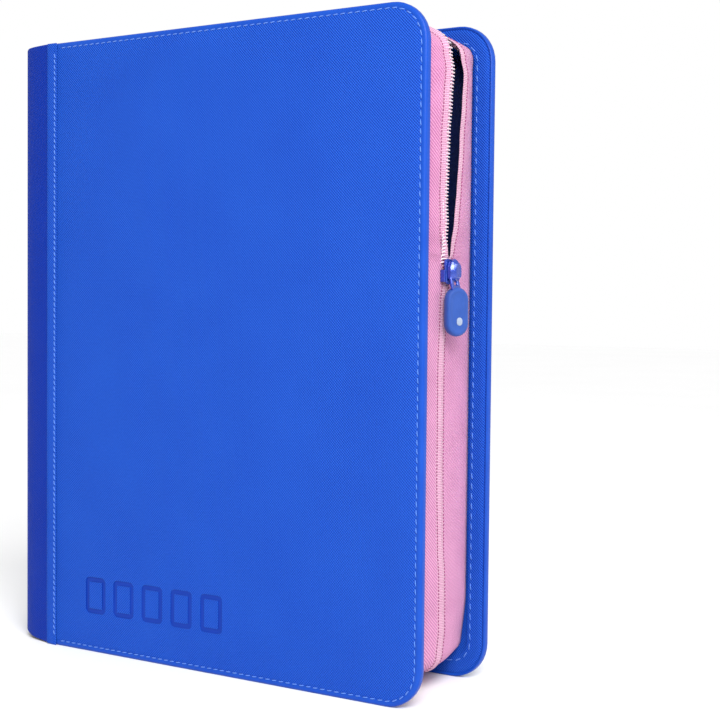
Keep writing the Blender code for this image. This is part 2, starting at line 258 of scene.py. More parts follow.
BLUE = {
    "face": woven_leather("cover_leather", (0.002, 0.026, 0.30), (0.018, 0.110, 0.57)),
    "edge": smooth_leather("cover_edge_leather", (0.004, 0.044, 0.33), (0.010, 0.074, 0.44)),
    "pressed": smooth_leather("pressed_leather", (0.002, 0.024, 0.24), (0.005, 0.042, 0.36), 0.4),
    # The spine's leather is the cover's woven leather painted darker: painted shade for the spine's sides
    # that turn away from the light
    "spine": woven_leather("spine_leather", (0.0006, 0.012, 0.20), (0.003, 0.042, 0.42)),
    "thread": thread("blue_thread", (0.035, 0.13, 0.52), (0.10, 0.25, 0.72)),
    "lining": twill("lining_cloth", (0.004, 0.010, 0.085), (0.010, 0.028, 0.20), 0.0007, sheen=0.1),
    "enamel": enamel("slider_enamel", (0.008, 0.030, 0.26), (0.018, 0.065, 0.46)),
    "rubber": rubber("grip_rubber", (0.011, 0.050, 0.24), (0.026, 0.082, 0.35)),
}
PINK = {
    "tape": twill("zip_tape", (0.27, 0.055, 0.18), (0.68, 0.28, 0.49), 0.0014, (0.66, -0.75, 0)),
    "tape_edge": twill("zip_tape_edge", (0.48, 0.17, 0.32), (0.74, 0.44, 0.58), 0.0009, (0, 1, 0)),
    "coil": nylon("zip_coil", (0.62, 0.44, 0.54), (0.78, 0.68, 0.73)),
    "thread": thread("zip_thread", (0.18, 0.010, 0.09), (0.36, 0.05, 0.19)),
}
BLACK = {
    "sheet": twill("page_sheet", (0.006, 0.006, 0.008), (0.020, 0.020, 0.024), 0.0011, sheen=0.1),
    "film": pocket_film("page_film", (0.006, 0.006, 0.008), (0.016, 0.016, 0.020)),
    "binding": twill("page_binding_bar", (0.006, 0.006, 0.008), (0.018, 0.018, 0.022), 0.0016,
                     coordinates="Object", sheen=0.1),
}
STEEL = enamel("stop_metal", (0.30, 0.30, 0.32), (0.50, 0.50, 0.53), 0.9, 0.3)
PALE_DOT = rubber("grip_dot", (0.22, 0.27, 0.38), (0.32, 0.37, 0.48))


# ---------------------------------------------------------------- mesh tools

def grid_faces(rows, columns, close_rows=False, close_columns=False, start=0):
    """The four-sided faces of a net of points, numbered row by row."""
    faces = []
    for r in range(rows if close_rows else rows - 1):
        for c in range(columns if close_columns else columns - 1):
            next_r, next_c = (r + 1) % rows, (c + 1) % columns
            corners = ((r, c), (r, next_c), (next_r, next_c), (next_r, c))
            faces.append([start + row * columns + column for row, column in corners])
    return faces


def add_object(name, data):
    """An object of the scene with this mesh, light or camera."""
    made = bpy.data.objects.new(name, data)
    bpy.context.scene.collection.objects.link(made)
    return made


def finish_mesh(name, bm, materials, uv_of=None, sharp=40):
    """Makes a piece from a bmesh, with its faces pointing out and its round parts shaded smooth."""
    bmesh.ops.recalc_face_normals(bm, faces=bm.faces)
    mesh = bpy.data.meshes.new(name)
    bm.to_mesh(mesh)
    bm.free()
    for material in materials:
        mesh.materials.append(material)
    if uv_of:
        lay_uv(mesh, uv_of)
    mesh.shade_smooth()
    mesh.set_sharp_from_angle(angle=math.radians(sharp))
    return add_object(name, mesh)


def lay_uv(mesh, uv_of):
    """Surface coordinates in metres: uv_of gives them from a point's place, or by its number in a list."""
    layer = mesh.uv_layers.new(name="surface")
    for loop in mesh.loops:
        at = loop.vertex_index
        layer.data[loop.index].uv = uv_of(mesh.vertices[at].co) if callable(uv_of) else uv_of[at]


def plain_mesh(name, points, faces, materials, uv_of=None, slots=None, sharp=40):
    """A piece from its points and faces. Slots says which material each face takes."""
    bm = bmesh.new()
    verts = [bm.verts.new(point) for point in points]
    for i, corners in enumerate(faces):
        face = bm.faces.new([verts[c] for c in corners])
        face.material_index = slots[i] if slots else 0
    return finish_mesh(name, bm, materials, uv_of, sharp)


def bridge(bm, line, other, closed=False, slot=0):
    """Faces between two lines, or rings, of as many points."""
    if closed:
        line, other = line + line[:1], other + other[:1]
    for quad in zip(line, line[1:], other[1:], other):
        bm.faces.new(quad).material_index = slot


def seal(bm):
    """Welds a shell's parts together and closes what is left open."""
    bmesh.ops.remove_doubles(bm, verts=bm.verts, dist=1e-6)
    bmesh.ops.dissolve_degenerate(bm, edges=bm.edges, dist=1e-7)
    bmesh.ops.holes_fill(bm, edges=[e for e in bm.edges if e.is_boundary])


def thicken(piece, thickness):
    """Gives an open cloth its thickness, half to each side."""
    shell = piece.modifiers.new("cloth", "SOLIDIFY")
    shell.thickness, shell.offset = thickness, 0.0


def sweep(points, radius, sides):
    """The points and faces of a round wire along a line of points."""
    count = len(points)
    made, normal = [], None
    for i, point in enumerate(points):
        along = (points[min(i + 1, count - 1)] - points[max(i - 1, 0)]).normalized()
        if normal is None:
            normal = along.orthogonal().normalized()
        normal = (normal - along * normal.dot(along)).normalized()
        other = along.cross(normal)
        for k in range(sides):
            angle = TURN * k / sides
            made.append(point + (normal * math.cos(angle) + other * math.sin(angle)) * radius)
    faces = grid_faces(count, sides, close_columns=True)
    faces += [list(range(sides)), list(range((count - 1) * sides, count * sides))]
    return made, faces


def run_lengths(points):
    """How far along a line of points each point lies."""
    lengths = [0.0]
    for a, b in zip(points, points[1:]):
        lengths.append(lengths[-1] + (b - a).length)
    return lengths


def stitch_row(name, line, pitch, length, radius, slant, material):
    """A row of stitches. The line's stations hold a place and the direction that faces out of the cloth.

    A stitch is a short plump thread whose two ends dive into the cloth. Slant turns it off the line.
    """
    points, faces = [], []
    lengths = run_lengths([place for place, _ in line])
    shares = (0.0, 0.12, 0.35, 0.65, 0.88, 1.0)
    sides = 6
    count = int((lengths[-1] - length) / pitch)
    margin = (lengths[-1] - (count - 1) * pitch - length) / 2
    station = 0
    for i in range(count):
        start = margin + i * pitch
        while lengths[station + 1] < start + length / 2:
            station += 1
        (a, out_a), (b, out_b) = line[station], line[station + 1]
        share = (start + length / 2 - lengths[station]) / (lengths[station + 1] - lengths[station])
        centre = a.lerp(b, share)
        out = out_a.lerp(out_b, share).normalized()
        along = (b - a).normalized()
        along = (along + out.cross(along) * slant).normalized()
        side = out.cross(along)
        first = len(points)
        for part in shares:
            swell = math.sin(math.pi * (0.12 + 0.76 * part))
            thick = radius * (0.45 + 0.55 * swell)
            ring = centre + along * (part - 0.5) * length + out * radius * (1.1 * swell - 0.75)
            for k in range(sides):
                angle = TURN * k / sides
                points.append(ring + (side * math.cos(angle) + out * math.sin(angle)) * thick)
        faces += grid_faces(len(shares), sides, close_columns=True, start=first)
        faces += [[first + k for k in range(sides)], [len(points) - sides + k for k in range(sides)]]
    return plain_mesh(name, points, faces, [material], sharp=80)


def arc(centre, radius, start, end, steps):
    """Points on an arc, with the angles in degrees."""
    angles = [math.radians(angle) for angle in spread(start, end, steps)]
    return [(centre[0] + radius * math.cos(a), centre[1] + radius * math.sin(a)) for a in angles]


def spread(first, last, count):
    """Values from the first to the last in so many equal steps."""
    return [first + (last - first) * i / count for i in range(count + 1)]


def smooth_step(value):
    """Eases a share from 0 to 1, level at both ends."""
    value = min(1.0, max(0.0, value))
    return value * value * (3 - 2 * value)


def between(table, at):
    """A value read from a short list of (place, value) pairs, eased from one pair to the next."""
    for (a, first), (b, second) in zip(table, table[1:]):
        if at <= b:
            return first + (second - first) * smooth_step((at - a) / (b - a))
    return table[-1][1]


def route(inset, start_x, step):
    """Stations along the three free sides, from the spine along the top, down and back along the bottom.

    Each station is (x, z, outward x, outward z, distance along).
    """
    radius = CORNER_RADIUS - inset
    right, low, high = EDGE_X - inset, inset, HEIGHT - inset
    run = right - radius - start_x
    bend = radius * math.pi / 2
    side = high - low - 2 * radius
    total = 2 * run + 2 * bend + side

    def on_bend(centre_z, angle, s):
        out_x, out_z = math.cos(angle), math.sin(angle)
        return (right - radius + radius * out_x, centre_z + radius * out_z, out_x, out_z, s)

    stations = []
    for s in spread(0.0, total, round(total / step)):
        if s <= run:
            stations.append((start_x + s, high, 0.0, 1.0, s))
        elif s <= run + bend:
            stations.append(on_bend(high - radius, math.pi / 2 - (s - run) / radius, s))
        elif s <= run + bend + side:
            stations.append((right, high - radius - (s - run - bend), 1.0, 0.0, s))
        elif s <= run + 2 * bend + side:
            stations.append(on_bend(low + radius, -(s - run - bend - side) / radius, s))
        else:
            stations.append((start_x + total - s, low, 0.0, -1.0, s))
    return stations


# ---------------------------------------------------------------- covers

# A cover's section from its face round the edge to the lip inside: distance in from the outline, and
# depth below the face. The stitches lie in the small dip at 3 mm.
COVER_SECTION = [
    (CORNER_RADIUS, 0.0), (0.0160, 0.0), (0.0110, 0.0), (0.0080, 0.0), (0.0055, 0.0), (0.0044, 0.00002),
    (0.0037, 0.00012), (0.0031, 0.00034), (0.0026, 0.00018), (0.0021, 0.00006), (0.0014, 0.00010),
    (0.0008, 0.00030), (0.0003, 0.00070), (0.0, 0.00130), (0.0, 0.00220), (0.0, 0.00340), (0.0001, 0.00420),
    (0.0003, 0.00470), (0.0008, 0.00495), (0.0013, 0.00480), (0.0018, 0.00430), (0.0024, 0.00460),
    (0.0030, 0.00500), (0.0050, 0.00500), (0.0075, 0.00492), (0.0098, 0.00500), (0.0108, 0.00490),
    (0.0113, 0.00455), (0.0118, 0.00420), (CORNER_RADIUS, 0.00420),
]
EDGE_BAND = range(7, 20)
BAND_INSET = 0.0031
LIP_SEAM_INSET = 0.0090
LEFT_X = SEAM_X - 0.0035
# The padding's rise and how far from the stitching it takes, the leather's sag, and the flat strip and
# the fade beside the spine seam
CROWN = 0.0006
CROWN_REACH = 0.007
SAG = 0.00025
SEAM_STRIP = 0.0025
SEAM_FADE = 0.012
COVER_STITCH = 0.00034
COVER_SLANT = 0.12
# The lining's edge: distance in from the outline, and height above the board
LINING_SECTION = [(0.0158, 0.0), (0.0161, 0.00045), (0.0168, 0.00070), (0.0184, 0.00085),
                  (CORNER_RADIUS, 0.00095)]
LINING_Y = FACE_Y - 0.0042


def outline_ring(columns, rows, inset, corner_steps):
    """A cover's outline: from the spine along the bottom, up the zip side and back along the top."""
    radius = CORNER_RADIUS - inset
    low, high = inset, HEIGHT - inset
    ring = [(x, low) for x in columns]
    ring += arc((FLAT_X, low + radius), radius, -90, 0, corner_steps)[1:]
    ring += [(EDGE_X - inset, z) for z in rows[1:]]
    ring += arc((FLAT_X, high - radius), radius, 0, 90, corner_steps)[1:]
    return ring + [(x, high) for x in reversed(columns[:-1])]


def crown_at(x, inset):
    """How far the padding lifts the leather, less at the stitching and at the spine seam."""
    rise = 1 - math.exp(-max(0.0, inset - BAND_INSET) / CROWN_REACH)
    seam = smooth_step((x - SEAM_X - SEAM_STRIP) / SEAM_FADE)
    return CROWN * rise * seam


def make_cover_leather(name, side):
    """The padded leather shell of one cover, from the spine seam round the edge to the zip."""
    columns = [LEFT_X, SEAM_X, SEAM_X + 0.0027, SEAM_X + 0.0035, SEAM_X + 0.006]
    columns += spread(SEAM_X + 0.011, FLAT_X, 20)
    rows = spread(CORNER_RADIUS, HEIGHT - CORNER_RADIUS, 28)

    def place(x, z, inset, depth, front):
        y = FACE_Y - depth
        if front:
            y += crown_at(x, inset)
            y += SAG * noise.noise(Vector((x * 22, side * 3.7, z * 22))) * smooth_step(inset / 0.02)
        return (x, side * y, z)

    bm = bmesh.new()
    rings = []
    for k, (inset, depth) in enumerate(COVER_SECTION):
        front = k < len(COVER_SECTION) // 2
        ring = outline_ring(columns, rows, inset, 10)
        rings.append([bm.verts.new(place(x, z, inset, depth, front)) for x, z in ring])
    for k, (ring, inner) in enumerate(zip(rings, rings[1:])):
        bridge(bm, ring, inner, slot=1 if k in EDGE_BAND else 0)
    for inset, depth in (COVER_SECTION[0], COVER_SECTION[-1]):
        net = [[bm.verts.new(place(x, z, inset, depth, depth == 0)) for x in columns] for z in rows]
        for lower, upper in zip(net, net[1:]):
            bridge(bm, lower, upper)
    seal(bm)
    piece = finish_mesh(name, bm, [BLUE["face"], BLUE["edge"]], lambda co: (co.x, co.z))
    return piece


def press_card_row(piece):
    """Presses a row of five blank card outlines into the front cover."""
    width, height, corner, stroke, gap, draft = 0.0150, 0.0210, 0.0028, 0.0026, 0.0062, 0.0004
    first_x, middle_z = SEAM_X + 0.0345, 0.0335
    above, bottom = FACE_Y + 0.002, FACE_Y + CROWN - 0.0005
    profile = ((draft, above), (0.0, bottom), (-stroke, bottom), (-stroke - draft, above))
    bm = bmesh.new()
    for i in range(5):
        centre_x = first_x + i * (width + gap)
        loops = []
        for grow, y in profile:
            half_w, half_h = width / 2 + grow, height / 2 + grow
            radius = corner + grow
            loop = []
            for k, (sx, sz) in enumerate(((1, 1), (-1, 1), (-1, -1), (1, -1))):
                centre = (centre_x + sx * (half_w - radius), middle_z + sz * (half_h - radius))
                loop += arc(centre, radius, 90 * k, 90 * k + 90, 4)
            loops.append([bm.verts.new((x, -y, z)) for x, z in loop])
        for ring, inner in zip(loops, loops[1:] + loops[:1]):
            bridge(bm, ring, inner, closed=True)
    cutter = finish_mesh("card_row_cutter", bm, [BLUE["pressed"]], lambda co: (co.x, co.z))
    cut = piece.modifiers.new("card_row", "BOOLEAN")
    cut.operation, cut.object, cut.solver = "DIFFERENCE", cutter, "MANIFOLD"
    cut.material_mode = "TRANSFER"
    evaluated = piece.evaluated_get(bpy.context.evaluated_depsgraph_get())
    mesh = bpy.data.meshes.new_from_object(evaluated)
    piece.modifiers.clear()
    piece.data = mesh
    bpy.data.objects.remove(cutter)
    mesh.shade_smooth()
    mesh.set_sharp_from_angle(angle=math.radians(28))


def make_cover(name, side):
    """One cover's leather, its stitching and the lining inside."""
    body = f"{name}_cover"
    leather = make_cover_leather(f"{name}_cover_leather", side)
    if side < 0:
        press_card_row(leather)
    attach(leather, body)
    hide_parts(f"{name}_skin", f"{name}_padding", f"{name}_board")
    rows = (("edge", BAND_INSET, FACE_Y - 0.00012, side, 0.0044, 0.0028),
            ("lip", LIP_SEAM_INSET, RIM_Y - 0.00005, -side, 0.0055, 0.0034))
    for row_name, inset, y, facing, pitch, length in rows:
        line = [(Vector((x, side * y, z)), Vector((0, facing, 0)))
                for x, z, *_ in route(inset, SEAM_X + 0.0035, 0.002)]
        row = stitch_row(f"{name}_{row_name}_stitches", line, pitch, length, COVER_STITCH, COVER_SLANT,
                         BLUE["thread"])
        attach(row, body)
    make_lining(name, side, body)


def make_lining(name, side, body):
    """The cloth glued inside one cover, with a soft rolled edge inside the zip."""
    columns = spread(WALL_END_X - 0.001, FLAT_X, 16)
    rows = spread(CORNER_RADIUS, HEIGHT - CORNER_RADIUS, 20)
    bm = bmesh.new()

    def point(x, z, lift):
        ripple = 0.00012 * noise.noise(Vector((x * 30, 9.1 * side, z * 30)))
        return bm.verts.new((x, side * (LINING_Y - lift - (ripple if lift else 0.0)), z))

    rings = []
    for inset, lift in LINING_SECTION:
        rings.append([point(x, z, lift) for x, z in outline_ring(columns, rows, inset, 6)])
    net = [[point(x, z, LINING_SECTION[-1][1]) for x in columns] for z in rows]
    for lines in (rings, net):
        for line, other in zip(lines, lines[1:]):
            bridge(bm, line, other)
    seal(bm)
    cloth = finish_mesh(f"{name}_lining_cloth", bm, [BLUE["lining"]], lambda co: (co.x, co.z))
    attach(cloth, body)
    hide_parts(f"{name}_lining")


# ---------------------------------------------------------------- spine

# The spine leather laps over the cover up to its seam, and its crease lies in front of the lap
FLAP = 0.00085
CREASE_X = SEAM_X - 0.0050
SPINE_FLAT_Y = 0.0165
SPINE_THICKNESS = 0.0036
GUTTER_THICKNESS = 0.0015
SEAM_OFFSET = 0.0067
HEM_LEVELS = [0.0, 0.0003, 0.0008, 0.0016, 0.004, 0.010, 0.020]


def spine_section(side):
    """The outer line of half the spine, from its middle to the seam, with how thick it is there."""
    outer_y = FACE_Y + FLAP
    crease = Vector((CREASE_X, outer_y - 0.0009))
    flat_end = Vector((SPINE_X, SPINE_FLAT_Y))
    handles = (flat_end + Vector((0, 0.0162)), crease + Vector((-0.0200, -0.0024)))
    line = [(Vector((SPINE_X, SPINE_FLAT_Y * i / 3)), SPINE_THICKNESS) for i in range(3)]
    steps = 16
    for i in range(steps + 1):
        t = i / steps
        place = (flat_end * (1 - t) ** 3 + handles[0] * 3 * t * (1 - t) ** 2
                 + handles[1] * 3 * t * t * (1 - t) + crease * t ** 3)
        thick = SPINE_THICKNESS + (GUTTER_THICKNESS - SPINE_THICKNESS) * smooth_step(t / 0.25)
        line.append((place, thick + (FLAP - GUTTER_THICKNESS) * smooth_step((t - 0.85) / 0.15)))
    for ahead, drop in ((0.0004, 0.0003), (0.0010, 0.0), (0.0030, 0.0), (0.0058, 0.0), (0.0066, 0.00025),
                        (0.0072, 0.0), (0.0076, 0.0001), (0.0079, 0.0004)):
        line.append((Vector((CREASE_X + ahead, outer_y - drop)), FLAP - drop))
    return [(Vector((p.x, side * p.y)), thick) for p, thick in line]


def make_spine_half(name, side):
    """Half of the spine's leather, from its middle round the gutter to its seam on the cover."""
    section = spine_section(side)
    count = len(section)
    outer = [p for p, _ in section]
    lengths = run_lengths(outer)
    inner = []
    for i, (p, thick) in enumerate(section):
        along = (outer[min(i + 1, count - 1)] - outer[max(i - 1, 0)]).normalized()
        inward = Vector((-along.y, along.x)) * side * -1
        if i == 0:
            inward = Vector((1, 0))
        inner.append(p + inward * thick)
    levels = HEM_LEVELS + spread(HEM_LEVELS[-1], HEIGHT - HEM_LEVELS[-1], 16)[1:-1]
    levels += [HEIGHT - z for z in reversed(HEM_LEVELS)]
    hem_rise = [(0.0, 0.0050), (0.020, 0.0050), (0.050, 0.0012), (0.060, 0.0004), (lengths[-1], 0.0)]
    outside = list(zip(outer, inner, lengths))
    lined = list(zip(inner, outer, lengths))[::-1]
    points, uvs = [], []
    for z in levels:
        swell = 0.35 + 0.65 * math.sin(min(1.0, min(z, HEIGHT - z) / 0.0012) * math.pi / 2)
        for line, sign in ((outside, 1), (lined, -1)):
            for here, there, s in line:
                centre = (here + there) / 2
                xy = centre + (here - centre) * swell
                foot = between(hem_rise, s)
                height = foot + (HEIGHT - foot) * z / HEIGHT if z < HEIGHT / 2 else z
                points.append((xy.x, xy.y, height))
                uvs.append((s * sign, z))
    loop = 2 * count
    faces = grid_faces(len(levels), loop, close_columns=True)
    slots = []
    flap_start = next(i for i, p in enumerate(outer) if p.x >= CREASE_X)
    for i in range(len(faces)):
        row, column = divmod(i, loop)
        inside = column >= count and len(HEM_LEVELS) - 1 <= row < len(levels) - len(HEM_LEVELS) - 1
        slots.append(1 if inside else 2 if flap_start <= column < count else 0)
    for row in (0, len(levels) - 1):
        first = row * loop
        for i in range(count - 1):
            faces.append([first + i, first + i + 1, first + loop - 2 - i, first + loop - 1 - i])
            slots.append(0)
    # The outer leather takes the darker copy of the cover leather, which is painted shade
    piece = plain_mesh(f"{name}_spine_leather", points, faces,
                       [BLUE["spine"], BLUE["lining"], BLUE["face"]], uvs, slots)
    body = f"{name}_cover"
    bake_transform(piece)
    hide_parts(f"{name}_gutter_skin")
    if side < 0:
        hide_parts("spine_skin", "spine_board", "spine_lining")
    seam_y = side * (FACE_Y + FLAP)
    seam = [(Vector((CREASE_X + SEAM_OFFSET, seam_y, z)), Vector((0, side, 0)))
            for z in spread(0.003, HEIGHT - 0.003, 80)]
    row = stitch_row(f"{name}_seam_stitches", seam, 0.0033, 0.0027, 0.00036, -0.35 * side, BLUE["thread"])
    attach(row, body)


# ---------------------------------------------------------------- zip

COIL_PITCH = 0.00178
COIL_REACH = 0.0024
COIL_RISE = 0.0006
COIL_WIRE = 0.00043
CORD_RADIUS = 0.00055
MESH_OVERLAP = 0.00055
TAPE_THICKNESS = 0.0005
TAPE_FOOT_Y = RIM_Y + 0.0003
# How far in from the coil's tips its tape's edge lies, and its dotted seam: closed, and wide open
TAPE_EDGE = {"front": (0.0007, 0.0046), "back": (0.0007, -0.0002)}
DOTTED_SEAM = {"front": (0.0039, 0.0062), "back": (0.0039, 0.0042)}
# The coil's width as a share of its reach, its tilt and how far it lies sunk: closed, and wide open
COIL_WIDTH = {"front": (0.66, 1.0), "back": (0.66, 0.86)}
COIL_TILT = {"front": (0.15, 0.0), "back": (0.15, 0.25)}
COIL_DROP = {"front": (0.00105, 0.00063), "back": (0.00105, 0.0022)}
ROOT_DROP = 0.5
# A turn steps on along the chain only between these two shares of it, so that its legs lie square
LEG_STEP = (0.3, 0.7)
# The tapes climb onto the coil. Where the chain is open, the front half flares out and the back half's
# coil is shifted in under its tape. Half a gap of BARED_AT counts as wide open.
COVER_LIFT = 0.0010
FLARE = 0.0014
COIL_SHIFT = 0.0038
BARED_AT = 0.0045
# How far the wall's foot stands out at the upper corner and at the lower one, and over what length
UPPER_PULL, UPPER_SPREAD = 0.0016, 0.017
LOWER_PULL, LOWER_SPREAD = -0.0032, 0.036
FOOT_INSET = {"front": 0.0118, "back": 0.0122}
# How far the chain is pushed out of the wall's plane down the zip side, by height. At the spine's end
# only a share of it is left, and a length is given over which it grows to the whole.
BULGE_LEFT, BULGE_FADE = 0.25, 0.06
SIDE_BULGE = [
    (0.005, 0.0004), (0.020, 0.0014), (0.032, 0.0018), (0.044, 0.0011), (0.058, 0.0009),
    (0.080, -0.0002), (0.120, -0.0010), (0.170, -0.0012), (0.205, -0.0002), (0.214, 0.0008),
    (0.2215, 0.0010), (0.232, 0.0024), (0.250, 0.0036), (0.290, 0.0050), (0.310, 0.0062),
    (0.324, 0.0070), (0.334, 0.0052), (0.3445, 0.0008), (0.350, 0.0),
]
# Half the width of the open stretch, by distance along the chain above the slider
OPEN_STRETCH = [
    (0.0, 0.0008), (0.003, 0.0028), (0.018, 0.0054), (0.036, 0.0070), (0.058, 0.0077), (0.085, 0.0078),
    (0.106, 0.0074), (0.115, 0.0062), (0.124, 0.0040), (0.132, 0.0020), (0.140, 0.0),
]
# The chain's way: along the top, round a corner and down the side
TOP_RUN = FLAT_X - WALL_END_X
BEND = (CORNER_RADIUS - WALL_INSET) * math.pi / 2
SIDE_RUN = HEIGHT - 2 * CORNER_RADIUS


def gap_at(station):
    """Half the width of the opening where the chain is unzipped."""
    above = TOP_RUN + BEND + HEIGHT - CORNER_RADIUS - SLIDER_TOP - station[4]
    return between(OPEN_STRETCH, above) if above > 0 else 0.0


def corner_pull(station):
    """How far the wall's foot is drawn in round the lower corner, or stands out at the upper one."""
    upper = abs(station[4] - TOP_RUN - BEND / 4)
    lower = abs(station[4] - TOP_RUN - BEND * 1.5 - SIDE_RUN)
    pulled_out = UPPER_PULL * smooth_step(1 - upper / UPPER_SPREAD)
    return pulled_out + LOWER_PULL * smooth_step(1 - lower / LOWER_SPREAD)


def bulge_at(station):
    """How far the chain stands out of the wall's plane at a station."""
    x, z = station[0], station[1]
    share = BULGE_LEFT + (1 - BULGE_LEFT) * smooth_step((x - WALL_END_X) / BULGE_FADE)
    return between(SIDE_BULGE, z) * share + 0.5 * min(0.0, corner_pull(station))


def wall_point(station, y, lift):
    """A place on the zip wall, lifted out of its plane."""
    x, z, out_x, out_z, _ = station
    return Vector((x + out_x * lift, y, z + out_z * lift))


def open_at(station):
    """How far the tapes show their open form at a station, from 0, closed, to 1."""
    return min(1.0, gap_at(station) / BARED_AT)


def part_way(pair, share):
    """A value between its closed form and its wide open one."""
    closed, opened = pair
    return closed + (opened - closed) * share


def tape_edge_y(name, station):
    """How far from the binder's middle a tape's edge lies."""
    return gap_at(station) - MESH_OVERLAP + part_way(TAPE_EDGE[name], open_at(station) ** 2)


def seam_width(name, station):
    """How far the dotted seam lies from the tape's edge."""
    seam = gap_at(station) - MESH_OVERLAP + part_way(DOTTED_SEAM[name], open_at(station))
    return seam - tape_edge_y(name, station)


def tape_point(name, station, from_edge):
    """A place on one tape, by its distance from the edge that lies on the coil.

    Between its dotted seam and its edge the tape climbs onto the coil and covers the coil's outer part.
    Where the chain is open, the front half flares out and the back half's tape hides its coil.
    """
    side = SIDES[name]
    edge_y = tape_edge_y(name, station)
    foot_lift = WALL_INSET - FOOT_INSET[name] + corner_pull(station)
    share = max(0.0, 1 - from_edge / (TAPE_FOOT_Y - edge_y))
    lift = foot_lift + (bulge_at(station) - foot_lift) * math.sin(share * math.pi / 2) ** 1.15
    ripple = 0.0004 * noise.noise(Vector((station[4] * 28, side * 5.3, 0)))
    lift += ripple * math.sin(share * math.pi)
    climb = 1 - smooth_step(from_edge / seam_width(name, station))
    if side < 0:
        lift += (COVER_LIFT + FLARE * min(1.0, 2 * open_at(station))) * climb
    else:
        lift += COVER_LIFT * (1 - open_at(station)) * climb
    return wall_point(station, side * (edge_y + from_edge), lift)


def make_tape(name, side):
    """One half of the zip's cloth tape: a soft band from the lip to the chain, with its dotted seam."""
    stations = route(WALL_INSET, WALL_END_X, 0.002)
    band_shares = (0.0, 0.2, 0.4, 0.6, 0.8, 1.0)
    wall_shares = (0.03, 0.12, 0.28, 0.45, 0.62, 0.78, 0.90, 1.0)
    points, uvs = [], []
    for station in stations:
        band = seam_width(name, station)
        rest = TAPE_FOOT_Y - tape_edge_y(name, station) - band
        across = [band * share for share in band_shares] + [band + rest * share for share in wall_shares]
        for from_edge in across:
            points.append(tape_point(name, station, from_edge))
            uvs.append((-from_edge, station[4]))
    columns = len(band_shares) + len(wall_shares)
    faces = grid_faces(len(stations), columns)
    slots = [1 if i % (columns - 1) < len(band_shares) else 0 for i in range(len(faces))]
    tape = plain_mesh(f"{name}_zip_tape", points, faces, [PINK["tape"], PINK["tape_edge"]], uvs, slots, 60)
    thicken(tape, TAPE_THICKNESS)
    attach(tape, f"{name}_cover")
    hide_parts(f"{name}_tape")
    line = []
    for station in stations:
        place = tape_point(name, station, seam_width(name, station))
        out = Vector((station[2], 0, station[3]))
        line.append((place + out * TAPE_THICKNESS / 2, out))
    stitches = stitch_row(f"{name}_tape_stitches", line, COIL_PITCH, 0.0013, 0.00042, 0.0, PINK["thread"])
    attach(stitches, f"{name}_cover")


def make_coil(name, side):
    """One half of the nylon coil: an oval spring with its legs square across the tape, on a cord."""
    steps = 14
    fine = route(WALL_INSET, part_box(f"{name}_coil")[0].x, COIL_PITCH / steps)
    start = 0 if side < 0 else steps // 2
    points, core = [], []
    for i in range(len(fine) - 2 * steps):
        turn, step = divmod(i, steps)
        along = turn + smooth_step((step / steps - LEG_STEP[0]) / (LEG_STEP[1] - LEG_STEP[0]))
        station = fine[start + round(along * steps)]
        angle = TURN * step / steps
        opened = open_at(station)
        reach = COIL_REACH * part_way(COIL_WIDTH[name], opened)
        from_tip = reach * (1 - math.cos(angle))
        tips_y = gap_at(station) - MESH_OVERLAP
        lift = bulge_at(station) + TAPE_THICKNESS / 2 + COIL_RISE
        lift -= part_way(COIL_DROP[name], opened) + part_way(COIL_TILT[name], opened) * from_tip
        if side < 0:
            lift += FLARE * opened
            lift -= ROOT_DROP * max(0.0, from_tip - reach) * min(1.0, 2.5 * (1 - opened))
        else:
            tips_y += COIL_SHIFT * opened
        rise = COIL_RISE * 0.8 * math.sin(angle)
        points.append(wall_point(station, side * (tips_y + from_tip), lift + rise))
        if i % (2 * steps) == steps // 2:
            core.append(wall_point(station, side * (tips_y + reach), lift))
    coil = plain_mesh(f"{name}_zip_coil", *sweep(points, COIL_WIRE, 5), [PINK["coil"]], sharp=80)
    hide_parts(f"{name}_coil")
    cord = plain_mesh(f"{name}_coil_cord", *sweep(core, CORD_RADIUS, 6), [PINK["tape_edge"]],
                      lambda co: (co.y, co.x + co.z), sharp=80)
    for piece in (coil, cord):
        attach(piece, f"{name}_cover")


def make_gusset(end):
    """The folded scrap of tape that closes one end of the zip at the spine."""
    low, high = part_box(f"{end}_end_tab")
    outward = 1 if end == "top" else -1
    rows, columns = 9, 13
    points, uvs = [], []
    for ahead in spread(0.0, 1.0, rows - 1):
        for across in spread(0.0, 1.0, columns - 1):
            x = low.x + (high.x - low.x) * ahead
            y = low.y + (high.y - low.y) * across
            arch = 0.0012 * math.cos(math.pi * (across - 0.5))
            fold = 0.0003 * math.sin(TURN * 2.5 * across) * math.sin(math.pi * ahead)
            points.append((x, y, (low.z + high.z) / 2 + outward * (arch - 0.0006 + fold)))
            uvs.append((y, x))
    cloth = plain_mesh(f"{end}_gusset", points, grid_faces(rows, columns), [PINK["tape"]], uvs, sharp=60)
    thicken(cloth, 0.0007)
    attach(cloth, "spine")
    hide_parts(f"{end}_end_tab")


# ---------------------------------------------------------------- slider and pull

PLATE_TOP = slider_high.x
PLATE_BOTTOM = slider_low.x
PLATE = 0.0012
BITE = 0.0002
PULL_TILT = math.radians(13)
PULL_X = PLATE_TOP + 0.0011
GRIP_TURN = math.radians(30)
GRIP_RADIUS = 0.0066


def rounded_outline(top, bottom, length, corner, shrink):
    """A four-cornered outline with round corners: half widths at its top and bottom, and its length."""
    outline = []
    radius = max(corner - shrink, 0.0001)
    for k, (sign, half, end) in enumerate(((1, top, 1), (-1, top, 1), (-1, bottom, -1), (1, bottom, -1))):
        centre = (sign * (half - shrink - radius), end * (length / 2 - shrink - radius))
        outline += arc(centre, radius, 90 * k, 90 * k + 90, 4)
    return outline


